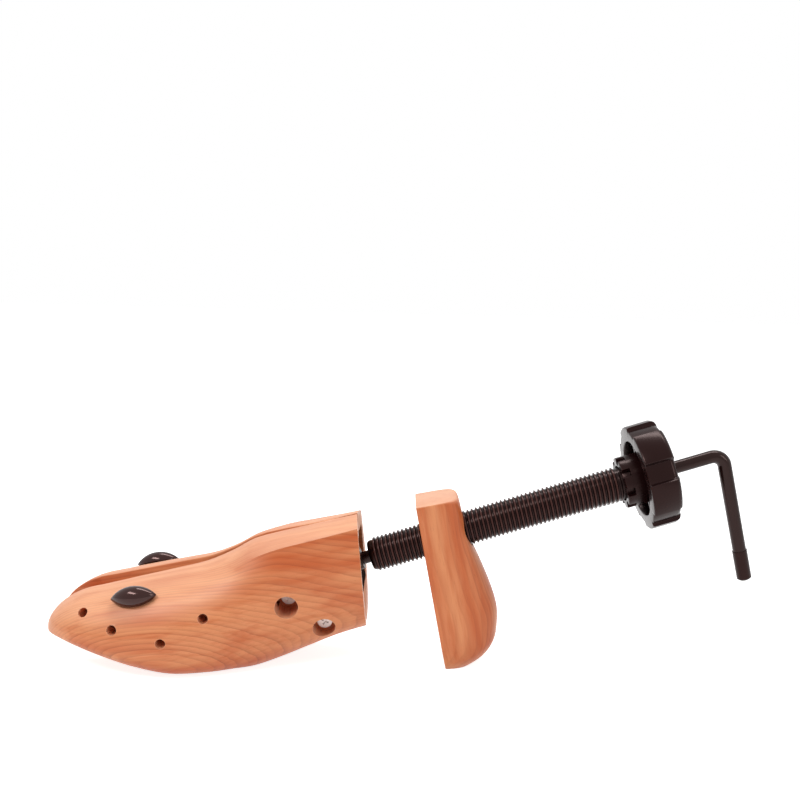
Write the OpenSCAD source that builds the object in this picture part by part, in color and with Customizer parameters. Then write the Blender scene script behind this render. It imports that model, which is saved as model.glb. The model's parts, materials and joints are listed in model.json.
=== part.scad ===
// Two way wooden shoe stretcher with a split forefoot, a sliding heel block and two removable bumps.
// Millimetres, Z up, the toe points to -X, the handle to +X, the floor is z = 0.
// Places marked "ahead" or "behind" are measured along the rod from the tube's front end.

/* [Whole tool] */
// Height of the front end of the threaded tube above the floor
axis_h = 52; // [51.5:0.1:52.5]
// Tilt of the tube and rod above the floor, in degrees
tilt = 18.57; // [18.3:0.01:18.8]
// Place of the tube's front end along X
front_x = -14.6; // [-16:0.01:-12]
// How far each half is swung out from closed, in degrees
open_angle = 3.5; // [2.5:0.1:4.5]

/* [Forefoot] */
// Distance of the toe tip ahead
toe_len = 152.3; // [151:0.1:153.5]
// Height of the wood over the floor at its rear end
wood_top = 75; // [74.5:0.1:75.5]
// Half width at the widest place of the ball
ball_w = 31; // [29:0.5:33]
// Inset of the top crease from the side of the rear part
crease_in = 3.5; // [2:0.25:5]
// Drop of the crown from the split to the crease
crown_drop = 3.1; // [2:0.1:4]
// Lean of the rear face, in degrees
rear_lean = 5.3; // [4:0.1:7]
// Distance of the rear face ahead of the tube's front end at axis height
rear_gap = 4.6; // [4:0.1:5]
// Rounding of the long edges beside the split
edge_r = 0.8; // [0.4:0.1:1.2]
// Diameter of the small holes for the bumps
small_hole_d = 4.6; // [4.6:0.05:5]
// Depth of the small holes
small_hole_depth = 11; // [10:0.5:12]
// Diameter of the two big counterbores in each side
big_hole_d = 10.6; // [10:0.1:11.5]
// Wood left between a counterbore and the hinge leaf
web_t = 1.8; // [1.5:0.1:2.5]
// Gap of each inner face from the middle plane when closed
split_gap = 0.1; // [0.05:0.05:0.2]
// Back taper of the inner faces behind the hinge pins, in degrees
relief_angle = 6.6; // [6.3:0.1:8]

/* [Hinge] */
// Distance of the hinge pins ahead
pin_back = 14; // [13.8:0.1:14.5]
// Distance of each hinge pin from the middle
pin_y = 7; // [6.9:0.05:7.2]
// Diameter of the hinge pins
pin_d = 4; // [3.8:0.1:4.2]
// Diameter of the riveted heads of the hinge pins
pin_head_d = 6; // [5:0.1:6.4]
// Thickness of the riveted heads
pin_head_t = 0.8; // [0.5:0.1:1]
// Outer diameter of the eyes of the hinge leaves
eye_d = 8.2; // [7.6:0.1:8.2]
// Length of each eye along its pin
eye_len = 3.9; // [3:0.1:4.2]
// Thickness of the hinge leaves
leaf_t = 2; // [1.6:0.1:2]
// Distance of the inner side of a leaf from the middle
leaf_in = 3.6; // [3.5:0.05:3.7]
// Half height of a leaf at the hinge
leaf_half = 9.4; // [9:0.1:9.4]
// Distance of the yoke plate ahead
yoke_back = 9.5; // [9.3:0.1:9.6]
// Thickness of the yoke
yoke_t = 2.4; // [2:0.1:2.5]
// Half width and half height of the yoke
yoke_half = 12; // [12:0.1:12.4]
// Reach of the yoke's cheeks ahead of the hinge pins
yoke_reach = 6; // [5:0.1:6.5]
// Diameter of the shafts of the leaf screws
leaf_screw_d = 4; // [3.5:0.1:4.2]
// Diameter of the heads of the leaf screws
leaf_head_d = 7; // [6.5:0.1:7.5]
// Thickness of the heads of the leaf screws
leaf_head_t = 1.6; // [1.2:0.1:2]

/* [Spreader] */
// Half angle of the wedge, in degrees
wedge_angle = 20; // [19:0.5:21]
// Half thickness of the wedge at its thin end
wedge_thin = 4.8; // [4.6:0.1:5]
// Length of the wedge
wedge_len = 20; // [19:0.5:20]
// Height of the wedge
wedge_h = 14; // [12:0.5:15]
// Radius of the nose of the pads
nose_r = 4; // [3.8:0.1:4.2]
// Distance of the pad noses ahead
nose_back = 62; // [61.5:0.1:62.5]
// Distance of a closed pad nose centre from the middle
nose_y = 10; // [9.9:0.05:10.1]
// Gap between wedge and pad nose
wedge_gap = 0.1; // [0.05:0.01:0.2]
// Length of the foot of a pad
pad_len = 22; // [20:0.5:23]
// Height of a pad
pad_h = 16; // [14:0.5:17]
// Thickness of the foot of a pad
pad_t = 2.15; // [2:0.05:2.4]
// Distance of the nose centre from the back of the pad
pad_rise = 4.45; // [4.3:0.05:4.6]
// Diameter of the pad screws
pad_screw_d = 3; // [2.5:0.1:3.2]
// Length of the pad screws
pad_screw_len = 8.9; // [7:0.1:9]

/* [Rod and handle] */
// Diameter of the handle rod
rod_d = 6; // [5.9:0.05:6.1]
// Distance of the toe end of the rod ahead
rod_back = 87; // [85:0.5:88]
// Distance of the handle arm behind
arm_s = 167.4; // [165:0.2:170]
// Length of the handle arm below the rod
arm_len = 63; // [55:0.5:65]
// Radius of the bend of the rod at its centre line
bend_r = 5.5; // [5:0.25:8]
// Length of the dipped cover on the arm
dip_len = 15; // [12:0.5:20]
// Thickness of the dipped cover
dip_t = 0.3; // [0.2:0.05:0.4]
// Pitch of the fine thread at the toe end of the rod
fine_pitch = 1; // [1:0.25:1.5]
// Length of the fine thread
fine_len = 42; // [38:1:44]
// Outer diameter of the collars pinned on the rod
collar_d = 10; // [9.4:0.1:10]
// Length of the collar in front of the yoke
front_collar_len = 3.12; // [3:0.02:3.3]
// Length of the collar behind the yoke
rear_collar_len = 2.82; // [2.7:0.02:3]
// Length of the collar that holds the tube
thrust_collar_len = 3.4; // [3.2:0.1:3.6]
// Diameter of the collar pins
collar_pin_d = 2; // [1.6:0.1:2.2]
// Width across the flats of the nut at the toe end of the rod
nut_af = 9.5; // [9:0.5:10]
// Length of that nut
nut_len = 4; // [3:0.5:4]
// Diameter of the washer behind the knob
washer_d = 12; // [11:0.5:14]
// Thickness of the washer
washer_t = 1; // [0.8:0.1:1]
// Outer diameter of the clip behind the washer
clip_d = 10; // [9:0.5:11]
// Thickness of the clip
clip_t = 1; // [0.8:0.1:1.2]

/* [Tube and knob] */
// Outer diameter of the threaded tube
tube_d = 16.4; // [15.8:0.1:16.6]
// Depth of the tube's thread
thread_depth = 0.9; // [0.8:0.1:1.2]
// Pitch of the tube's thread
thread_pitch = 2; // [2:0.1:2.2]
// Distance of the front rim of the knob behind
rim_s = 127.8; // [127:0.2:130]
// Distance of the rear face of the knob behind
knob_rear_s = 141; // [140.6:0.2:142]
// Outer diameter over the six lobes
knob_d = 48.4; // [46:0.2:50]
// Depth of the hollows between the lobes
lobe_depth = 1.5; // [1:0.1:2]
// Wall of the knob's rim
rim_wall = 4.4; // [3.5:0.1:5]
// Depth of the recess in the front of the knob
rim_depth = 8; // [7:0.2:8.4]
// Thickness of the ribs in that recess
rib_t = 2; // [1.5:0.1:3]
// Outer diameter of the notched hub
hub_d = 23.8; // [23:0.2:25]
// Distance of the front of the hub behind
hub_s = 120.4; // [119.6:0.2:121]
// Width of the notches of the hub
notch_w = 3.2; // [2.4:0.1:3.6]
// Depth of the notches along the hub
notch_depth = 3.4; // [2:0.1:4]
// Diameter of the pin through the hub
knob_pin_d = 3; // [2.5:0.1:3]

/* [Heel block] */
// Lean of the flat front of the heel block, in degrees
heel_lean = 12; // [11.5:0.1:12.5]
// Place of the front of the heel block on the floor, from the tube's front end
heel_x = 37.1; // [36.8:0.1:37.8]
// Half width of the top of the heel block
heel_w = 13.7; // [13.5:0.1:15]
// Height of the heel block along its lean
heel_h = 81.2; // [80.4:0.1:82]
// Greatest depth of the heel block
heel_depth = 29.4; // [28.8:0.1:30]
// Rounding of the front edges of the heel block
heel_edge = 0.7; // [0.4:0.1:1]
// Outer diameter of the threaded bush in the heel block
bush_d = 19.6; // [19.4:0.1:20]
// Distance of the front of the bush behind
flange_s = 28.2; // [28.1:0.1:28.6]
// Length of the bush
bush_len = 16.4; // [14:0.2:17]
// Width of the flange of the bush
flange_w = 22; // [21:0.5:22.5]
// Height of the flange
flange_h = 35; // [34:0.5:36]
// Thickness of the flange
flange_t = 2.5; // [2.2:0.1:3]
// Distance of the bush screws from the tube's axis
bush_screw_t = 13.4; // [13.2:0.1:13.8]
// Diameter of the bush screws
bush_screw_d = 3; // [2.5:0.1:3]
// Length of the bush screws
bush_screw_len = 10.6; // [8:0.2:11]

/* [Bumps] */
// Length of a bump
bump_len = 21.5; // [20:0.5:23]
// Width of a bump
bump_w = 10; // [9:0.5:12]
// Height of a bump above its foot
bump_h = 6.2; // [5.6:0.2:7]
// Height of the foot of a bump over the wood
bump_seat = 0.2; // [0.1:0.05:0.4]
// Blunt tip of a bump
bump_tip = 0.35; // [0.2:0.05:0.6]
// Diameter of the peg of a bump
peg_d = 4.5; // [4.3:0.05:4.5]
// Length of the peg
peg_len = 9; // [8:0.5:9.5]

/* [Clearances] */
// Radial running clearance of a turning rod or tube
run_gap = 0.05; // [0.03:0.01:0.09]
// Radial clearance of a pressed or screwed part
press_gap = 0.02; // [0.01:0.005:0.03]
// Radial clearance of a screw in its hole, and of a part laid into wood
screw_gap = 0.05; // [0.03:0.01:0.08]
// End play of a collar or washer
end_gap = 0.08; // [0.05:0.01:0.1]
// Room for the hinge and its yoke in the wood
hinge_room = 1.2; // [1:0.1:1.3]
// Room for the wedge and for the nut in the wood
wedge_room = 2; // [1.5:0.1:2.5]

/* [Hidden] */
$fn = 64;
wood = [0.87, 0.62, 0.42];
plastic = [0.14, 0.10, 0.10];
steel = [0.62, 0.62, 0.64];
black_steel = [0.16, 0.14, 0.14];
brass = [0.75, 0.60, 0.32];
past = 1;
rod_r = rod_d / 2;
tube_r = tube_d / 2;
hub_r = hub_d / 2;
knob_r = knob_d / 2;
bore_r = rod_r + run_gap;
// stations of a half: distance ahead over toe_len, half width over ball_w, top, widest height
// and sole over wood_top, share of the crease, fullness of the sole
stations = [
  [-0.0131, 0.633, 1.0, 0.6267, 0.256, 1, 2.4],
  [0.0919, 0.673, 0.9427, 0.56, 0.1893, 1, 2.4],
  [0.1838, 0.717, 0.896, 0.5067, 0.112, 1, 2.4],
  [0.2758, 0.760, 0.8507, 0.4467, 0.0347, 0.9, 2.5],
  [0.3546, 0.807, 0.8027, 0.3867, -0.012, 0.35, 2.8],
  [0.4202, 0.867, 0.728, 0.3333, -0.016, 0, 3.2],
  [0.499, 0.940, 0.6573, 0.28, -0.0173, 0, 3.6],
  [0.6041, 1, 0.6013, 0.2467, -0.0133, 0, 3.6],
  [0.7091, 0.977, 0.5493, 0.24, 0.0253, 0, 3.1],
  [0.8011, 0.900, 0.5027, 0.24, 0.0813, 0, 2.65],
  [0.8798, 0.760, 0.4627, 0.2467, 0.1387, 0, 2.4],
  [0.9389, 0.585, 0.4, 0.2467, 0.1853, 0, 2.3],
  [0.9783, 0.383, 0.328, 0.24, 0.2093, 0, 2.2],
  [1.0, 0.08, 0.2507, 0.2347, 0.2213, 0, 2.2]
];
// rings between two stations, points from the split to the widest place and to the crease
per_station = 3;
quarter = 12;
crease_i = 5;
// fullness of the top
top_power = 2.1;
half_units = [toe_len, ball_w, wood_top, wood_top, wood_top, 1, 1];
// small holes: distance ahead, distance from the middle and height as shares of toe_len, ball_w
// and wood_top, then rise and turn of the bore
small_holes = [
  [0.8529, 0.6258, 0.396, 25, 0],
  [0.7571, 0.8968, 0.3267, 10, 0],
  [0.6146, 1.0, 0.2573, 0, 0],
  [0.4918, 0.8935, 0.4013, 8, 0]
];
bump_hole_left = [0.6973, 0.6516, 0.4907, 55, 10.7];
bump_hole_right = [0.7262, 0.6484, 0.4733, 55, 11.5];
// leaf screws: distance ahead, height over the rod
leaf_screws = [[41.9, -5.0], [29.7, -21.6]];
leaf_out = leaf_in + leaf_t;
web_out = leaf_out + web_t;
// corners of a leaf ahead of its eyes: distance ahead, height over the rod
leaf_nose = [47.5, 4];
leaf_chin = -10;
leaf_low = [35.5, -26];
leaf_heel = [25.4, 22];
eye_in = leaf_half - eye_len;
eye_cut = 4;
leaf_room = 0.6;
cross_w = 0.9;
// pads
pad_out = nose_y + pad_rise;
pad_screw_s = [-nose_back - 8.2, -nose_back + 8.2];
countersink = 1.35;
pad_room = 0.4;
// the wedge touches both noses at the opening that open_angle sets
nose_c = [-pin_back - (nose_back - pin_back) * cos(open_angle) + (nose_y - pin_y) * sin(open_angle),
  pin_y + (nose_back - pin_back) * sin(open_angle) + (nose_y - pin_y) * cos(open_angle)];
wedge_at_nose = nose_c[1] - (nose_r + wedge_gap) / cos(wedge_angle);
wedge_s = nose_c[0] + (wedge_at_nose - wedge_thin) / tan(wedge_angle);
wedge_slot = 47;
wedge_way = 4;
// places along the rod, minus is ahead
front_collar_s = -yoke_back - end_gap - front_collar_len;
rear_collar_s = -yoke_back + yoke_t + end_gap;
thrust_collar_s = 0.6;
collar_pin_s = [front_collar_s + front_collar_len / 2, rear_collar_s + rear_collar_len / 2,
  thrust_collar_s + thrust_collar_len / 2];
nut_s = -rod_back + 1;
washer_s = knob_rear_s + 0.1;
clip_s = washer_s + washer_t + 0.15;
clip_groove = 0.6;
clip_mouth = 1.4;
fine_depth = 0.4;
dip_cap = 1;
dip_bevel = 0.8;
tube_end = knob_rear_s - 1.4;
tube_lead = 1.6;
tube_nose = 1.7;
collar_room = 0.3;
knob_pin_s = hub_s + 3.6;
// the knob: half angle of a hollow, angle of the first lobe from the top, turn of the notches
hollow_half = 11;
lobe_turn = 44;
notch_turn = 10;
rib_step = 2.4;
// heel block
bush_end = flange_s + bush_len;
tube_room = 0.6;
flange_room = 0.2;
tip_room = 0.4;
heel_per = 2;
heel_quarter = 12;
// stations of the heel block: shares of heel_h, heel_w and heel_depth, then the fullness
heel_stations = [
  [-0.0616, 0.58, 0.3061, 2.4],
  [-0.0222, 0.86, 0.5102, 2.5],
  [0.0062, 1.00, 0.6531, 2.6],
  [0.0406, 1.10, 0.7687, 2.7],
  [0.0862, 1.16, 0.8639, 2.8],
  [0.1429, 1.19, 0.932, 2.8],
  [0.2451, 1.20, 0.9932, 2.8],
  [0.3264, 1.185, 1.0, 2.8],
  [0.4273, 1.15, 0.9592, 2.8],
  [0.5702, 1.10, 0.8707, 3.0],
  [0.6958, 1.05, 0.7755, 3.4],
  [0.7956, 1.02, 0.7109, 4.0],
  [0.8842, 1.005, 0.6939, 4.6],
  [0.9606, 1.0, 0.6803, 5.0],
  [0.9901, 0.995, 0.6599, 5.0],
  [1.0, 0.975, 0.6259, 5.0]
];
bump_steps = 9;
// bigger than the whole tool
far = 250;

// Which sub-part to draw

function mix(a, b, t) = a + (b - a) * t;
// smooth curve through rows, per steps between two of them
function spline(a, b, c, d, t) = 0.5 * (2 * b + (c - a) * t
  + (2 * a - 5 * b + 4 * c - d) * t * t + (3 * b - a - 3 * c + d) * t * t * t);
function at(list, i) = list[max(0, min(len(list) - 1, i))];
// rows of shares made into millimetres
function sized(list, units) = [for (r = list) [for (i = [0 : len(r) - 1]) r[i] * units[i]]];
function smooth_rows(list, per) = concat(
  [for (i = [0 : len(list) - 2]) for (j = [0 : per - 1])
    spline(at(list, i - 1), at(list, i), at(list, i + 1), at(list, i + 2), j / per)],
  [list[len(list) - 1]]);

// one section of the left half, from the split over the top and the side to the split again
function top_smooth(r, f) = [-r[1] * pow(sin(f), 2 / top_power),
  r[3] + (r[2] - r[3]) * pow(cos(f), 2 / top_power)];
function top_creased(r, i) =
  let (yc = r[1] - crease_in, zc = r[2] - crown_drop, q = i / crease_i,
    g = (i - crease_i) / (quarter - crease_i))
  i <= crease_i ? [-yc * q, r[2] - crown_drop * q * q]
    : [-(yc + crease_in * sin(90 * g)), mix(zc, r[3], g)];
function sole_point(r, f) = [-r[1] * pow(cos(f), 2 / r[6]),
  r[3] - (r[3] - r[4]) * pow(sin(f), 2 / r[6])];
function half_section(r) = concat(
  [[0, r[2] - edge_r]],
  [[-edge_r, r[2]]],
  [for (i = [1 : quarter]) mix(top_smooth(r, 90 * i / quarter), top_creased(r, i), r[5])],
  [for (i = [1 : quarter - 1]) sole_point(r, 90 * i / quarter)],
  [[-min(edge_r, 0.3 * r[1]), r[4]]],
  [[0, r[4] + edge_r * 0.5]]);

// skin over equal rings of points
module skin(rings) {
  n = len(rings);
  m = len(rings[0]);
  points = [for (r = rings) for (p = r) p];
  sides = [for (i = [0 : n - 2]) for (j = [0 : m - 1])
    [i * m + j, i * m + (j + 1) % m, (i + 1) * m + (j + 1) % m, (i + 1) * m + j]];
  first = [[for (j = [0 : m - 1]) m - 1 - j]];
  last = [[for (j = [0 : m - 1]) (n - 1) * m + j]];
  polyhedron(points, concat(sides, first, last), convexity = 6);
}

// the rod's own frame: X along the rod to the handle, Z up from the rod
module in_rod() {
  translate([front_x, 0, axis_h]) rotate([0, -tilt, 0]) children();
}
module un_rod() {
  rotate([0, tilt, 0]) translate([-front_x, 0, -axis_h]) children();
}
// swing of the left half about its hinge pin, in the rod's frame
module swing() {
  translate([-pin_back, -pin_y, 0]) rotate([0, 0, open_angle]) translate([pin_back, pin_y, 0])
    children();
}
// a sub-part of one half, given for the left half in the rod's frame
module left_side() {
  in_rod() swing() children();
}
module right_side() {
  mirror([0, 1, 0]) left_side() children();
}
// round bar along the rod from s0 to s1
module bar(s0, s1, r) {
  translate([s0, 0, 0]) rotate([0, 90, 0]) cylinder(r = r, h = s1 - s0);
}
module box(s0, s1, y0, y1, t0, t1) {
  translate([s0, y0, t0]) cube([s1 - s0, y1 - y0, t1 - t0]);
}
// round bar across the rod between y0 and y1
module cross_bar(s, t, y0, y1, r) {
  translate([s, y0, t]) rotate([-90, 0, 0]) cylinder(r = r, h = y1 - y0);
}
// everything below the floor
module below_floor() {
  translate([-far, -far, -far]) cube([2 * far, 2 * far, far]);
}
// rings of a thread: n crests from s0 on
function ridges(s0, n, pitch, crest, root) = [for (i = [0 : n - 1]) for (k = [0 : 3])
  [[crest, root, root, crest][k], s0 + i * pitch + [0.12, 0.5, 0.62, 1.0][k] * pitch]];

module forefoot_solid() {
  rows = smooth_rows(sized(stations, half_units), per_station);
  skin([for (r = rows) [for (p = half_section(r)) [front_x - r[0], p[0] - split_gap, p[1]]]]);
}
// frame at a small hole, Z out of the wood
module at_hole(h) {
  translate([front_x - h[0] * toe_len, -h[1] * ball_w, h[2] * wood_top]) rotate([90 - h[3], 0, 0])
    rotate([0, -h[4], 0]) children();
}
module small_bore(h) {
  at_hole(h) translate([0, 0, -small_hole_depth])
    cylinder(d = small_hole_d, h = small_hole_depth + 8);
}
module leaf_plan(grow) {
  polygon([[-pin_back + grow, leaf_half + grow], [-leaf_nose[0] + 5.5 - grow / 2, leaf_half + grow],
    [-leaf_nose[0] - grow, leaf_nose[1]], [-leaf_nose[0] - grow, leaf_chin],
    [-leaf_low[0], leaf_low[1] - grow], [-leaf_heel[0] + grow, leaf_low[1] - grow],
    [-leaf_heel[1] + grow, -leaf_half - grow], [-pin_back + grow, -leaf_half - grow]]);
}
module half_pockets() {
  // yoke and hinge
  box(-pin_back - yoke_reach - 1.5, far, -yoke_half - hinge_room, past, -yoke_half - hinge_room,
    yoke_half + hinge_room);
  // leaf
  translate([0, -leaf_out - screw_gap, 0]) rotate([90, 0, 0]) mirror([0, 0, 1])
    linear_extrude(height = leaf_out + past) leaf_plan(leaf_room);
  // wedge and nut
  box(-rod_back - 3, -wedge_slot, -pad_out + 1.05, past, -wedge_h / 2 - wedge_room,
    wedge_h / 2 + wedge_room);
  // shallow way for the thin end of the wedge when the halves are wide open
  box(-wedge_slot - past, -wedge_slot + wedge_way, -leaf_in + 0.6, past,
    -wedge_h / 2 - wedge_room, wedge_h / 2 + wedge_room);
  // foot of the pad
  box(-nose_back - pad_len / 2 - pad_room, -nose_back + pad_len / 2 + pad_room,
    -pad_out - screw_gap, past, -pad_h / 2 - pad_room, pad_h / 2 + pad_room);
  for (h = leaf_screws) {
    cross_bar(-h[0], h[1], -2 * ball_w, -web_out, big_hole_d / 2);
    cross_bar(-h[0], h[1], -ball_w, 0, leaf_screw_d / 2 + 3 * screw_gap);
  }
  for (s = pad_screw_s) {
    cross_bar(s, 0, -pad_out - pad_screw_len, -pad_out + past, pad_screw_d / 2 + press_gap);
  }
}
module forefoot_wood(bump_hole) {
  difference() {
    forefoot_solid();
    // rear face
    translate([front_x - rear_gap, 0, axis_h]) rotate([0, -rear_lean, 0])
      translate([0, -far, -far]) cube(2 * far);
    // taper behind the hinge pins
    in_rod() translate([-pin_back, -split_gap, -far]) rotate([0, 0, -relief_angle])
      cube([far, ball_w, 2 * far]);
    in_rod() half_pockets();
    for (h = small_holes) {
      small_bore(h);
    }
    small_bore(bump_hole);
  }
}
module half_on_floor(bump_hole) {
  difference() {
    in_rod() swing() un_rod() forefoot_wood(bump_hole);
    below_floor();
  }
}
module forefoot_left() {
  color(wood) half_on_floor(bump_hole_left);
}
module forefoot_right() {
  color(wood) mirror([0, 1, 0]) half_on_floor(bump_hole_right);
}

// channel that holds both hinge pins and takes the push of the rod
module hinge_yoke() {
  color(black_steel) in_rod() difference() {
    union() {
      box(-yoke_back, -yoke_back + yoke_t, -yoke_half, yoke_half, -yoke_half, yoke_half);
      for (k = [0, 1]) {
        mirror([0, 0, k]) box(-pin_back - yoke_reach, -yoke_back + yoke_t, -yoke_half, yoke_half,
          yoke_half - yoke_t, yoke_half);
      }
    }
    bar(-yoke_back - past, -yoke_back + yoke_t + past, bore_r);
    for (k = [-1, 1]) {
      translate([-pin_back, k * pin_y, -far]) cylinder(r = pin_d / 2 + press_gap, h = 2 * far);
    }
  }
}
module hinge_pins() {
  color(steel) in_rod() for (k = [-1, 1]) {
    translate([-pin_back, k * pin_y, 0]) {
      translate([0, 0, -yoke_half]) cylinder(d = pin_d, h = 2 * yoke_half);
      translate([0, 0, yoke_half]) cylinder(d = pin_head_d, h = pin_head_t);
      translate([0, 0, -yoke_half - pin_head_t]) cylinder(d = pin_head_d, h = pin_head_t);
    }
  }
}
module leaf_shape() {
  difference() {
    union() {
      difference() {
        translate([0, -leaf_out, 0]) rotate([90, 0, 0]) mirror([0, 0, 1])
          linear_extrude(height = leaf_t) leaf_plan(0);
        box(-pin_back - eye_cut, 0, -far, far, -eye_in, eye_in);
      }
      for (k = [0, 1]) {
        mirror([0, 0, k]) translate([-pin_back, -pin_y, eye_in]) cylinder(d = eye_d, h = eye_len);
      }
    }
    translate([-pin_back, -pin_y, -far]) cylinder(r = pin_d / 2 + run_gap, h = 2 * far);
    for (h = leaf_screws) {
      cross_bar(-h[0], h[1], -ball_w, 0, leaf_screw_d / 2 + screw_gap);
    }
  }
}
module hinge_leaf_left() {
  color(steel) left_side() leaf_shape();
}
module hinge_leaf_right() {
  color(steel) right_side() leaf_shape();
}
module leaf_screw_shape() {
  for (h = leaf_screws) {
    difference() {
      union() {
        cross_bar(-h[0], h[1], -web_out - leaf_head_t, -web_out, leaf_head_d / 2);
        cross_bar(-h[0], h[1], -web_out, -leaf_in - 0.1, leaf_screw_d / 2);
      }
      // cross recess
      for (a = [45, 135]) {
        translate([-h[0], -web_out - leaf_head_t, h[1]]) rotate([0, a, 0])
          translate([-leaf_screw_d / 2, -past, -cross_w / 2])
            cube([leaf_screw_d, past + leaf_head_t / 2, cross_w]);
      }
    }
  }
}
module leaf_screws_left() {
  color(steel) left_side() leaf_screw_shape();
}
module leaf_screws_right() {
  color(steel) right_side() leaf_screw_shape();
}

// screw with a countersunk head at the origin, its shaft along +Z
module sunk_screw(d, length) {
  cylinder(r1 = d / 2 + countersink, r2 = d / 2, h = countersink);
  cylinder(d = d, h = length);
}
module sunk_hole(d, length) {
  grown = d / 2 + screw_gap;
  translate([0, 0, -screw_gap]) cylinder(r1 = grown + countersink + screw_gap, r2 = grown,
    h = countersink + screw_gap);
  cylinder(r = grown, h = length);
}
// the pad screws stand with their heads toward the middle
module at_pad_screws() {
  for (s = pad_screw_s) {
    translate([s, -pad_out + pad_t - screw_gap, 0]) rotate([90, 0, 0]) children();
  }
}
module pad_shape() {
  difference() {
    union() {
      box(-nose_back - pad_len / 2, -nose_back + pad_len / 2, -pad_out, -pad_out + pad_t,
        -pad_h / 2, pad_h / 2);
      box(-nose_back - nose_r, -nose_back + nose_r, -pad_out + pad_t / 2, -nose_y, -pad_h / 2,
        pad_h / 2);
      translate([-nose_back, -nose_y, -pad_h / 2]) cylinder(r = nose_r, h = pad_h);
    }
    at_pad_screws() sunk_hole(pad_screw_d, 2 * pad_t);
  }
}
module spreader_pad_left() {
  color(steel) left_side() pad_shape();
}
module spreader_pad_right() {
  color(steel) right_side() pad_shape();
}
module pad_screws_left() {
  color(steel) left_side() at_pad_screws() sunk_screw(pad_screw_d, pad_screw_len);
}
module pad_screws_right() {
  color(steel) right_side() at_pad_screws() sunk_screw(pad_screw_d, pad_screw_len);
}
module spreader_wedge() {
  thick = wedge_thin + wedge_len * tan(wedge_angle);
  color(brass) in_rod() translate([wedge_s, 0, 0]) difference() {
    translate([0, 0, -wedge_h / 2]) linear_extrude(height = wedge_h)
      polygon([[0, wedge_thin], [-wedge_len, thick], [-wedge_len, -thick], [0, -wedge_thin]]);
    bar(-wedge_len - past, past, bore_r);
  }
}

module handle_rod() {
  arm_top = arm_s - bend_r;
  groove_r = rod_r - clip_groove;
  color(black_steel) in_rod() difference() {
    union() {
      rotate([0, 90, 0]) rotate_extrude() polygon(concat(
        [[0, -rod_back], [rod_r - 0.6, -rod_back], [rod_r, -rod_back + 0.6]],
        ridges(-rod_back + 0.8, floor(fine_len / fine_pitch), fine_pitch, rod_r, rod_r - fine_depth),
        [[rod_r, clip_s - 0.05], [groove_r, clip_s - 0.05], [groove_r, clip_s + clip_t + 0.05],
          [rod_r, clip_s + clip_t + 0.05], [rod_r, arm_top], [0, arm_top]]));
      translate([arm_top, 0, -bend_r]) rotate([90, 0, 0]) rotate_extrude(angle = 90)
        translate([bend_r, 0]) circle(r = rod_r);
      translate([arm_s, 0, -arm_len + dip_cap]) cylinder(r = rod_r, h = arm_len - bend_r - dip_cap);
    }
    for (s = collar_pin_s) {
      cross_bar(s, 0, -far, far, collar_pin_d / 2 + press_gap);
    }
  }
}
module handle_dip() {
  r = rod_r + dip_t;
  color(plastic) in_rod() translate([arm_s, 0, -arm_len]) difference() {
    union() {
      translate([0, 0, dip_bevel]) cylinder(r = r, h = dip_len - dip_bevel);
      cylinder(r1 = r - dip_bevel, r2 = r, h = dip_bevel);
    }
    translate([0, 0, dip_cap]) cylinder(r = rod_r, h = dip_len);
  }
}
module collar(s0, length, pin_s) {
  difference() {
    bar(s0, s0 + length, collar_d / 2);
    bar(s0 - past, s0 + length + past, rod_r + press_gap);
    cross_bar(pin_s, 0, -far, far, collar_pin_d / 2 + press_gap);
  }
}
module front_collar() {
  color(steel) in_rod() collar(front_collar_s, front_collar_len, collar_pin_s[0]);
}
module rear_collar() {
  color(steel) in_rod() collar(rear_collar_s, rear_collar_len, collar_pin_s[1]);
}
module thrust_collar() {
  color(steel) in_rod() collar(thrust_collar_s, thrust_collar_len, collar_pin_s[2]);
}
module collar_pins() {
  reach = collar_d / 2 - 0.2;
  color(steel) in_rod() for (s = collar_pin_s) {
    cross_bar(s, 0, -reach, reach, collar_pin_d / 2);
  }
}
module rod_end_nut() {
  color(steel) in_rod() difference() {
    translate([nut_s, 0, 0]) rotate([0, 90, 0])
      cylinder(d = nut_af / cos(30), h = nut_len, $fn = 6);
    bar(nut_s - past, nut_s + nut_len + past, rod_r + press_gap);
  }
}
module rear_washer() {
  color(steel) in_rod() difference() {
    bar(washer_s, washer_s + washer_t, washer_d / 2);
    bar(washer_s - past, washer_s + washer_t + past, bore_r);
  }
}
module rod_clip() {
  color(steel) in_rod() difference() {
    bar(clip_s, clip_s + clip_t, clip_d / 2);
    bar(clip_s - past, clip_s + clip_t + past, rod_r - clip_groove + press_gap);
    translate([clip_s - past, -rod_r + clip_mouth / 2, 0])
      cube([clip_t + 2 * past, rod_d - clip_mouth, clip_d]);
  }
}

module threaded_tube() {
  turns = floor((hub_s - tube_lead - 0.2) / thread_pitch);
  color(plastic) in_rod() difference() {
    rotate([0, 90, 0]) rotate_extrude() polygon(concat(
      [[bore_r, 0], [tube_r - tube_nose, 0], [tube_r - 0.4, tube_lead]],
      ridges(tube_lead, turns, thread_pitch, tube_r, tube_r - thread_depth),
      [[tube_r, tube_end], [bore_r, tube_end]]));
    bar(-past, thrust_collar_s + thrust_collar_len + end_gap, collar_d / 2 + collar_room);
    cross_bar(knob_pin_s, 0, 0, far, knob_pin_d / 2 + press_gap);
  }
}
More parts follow.
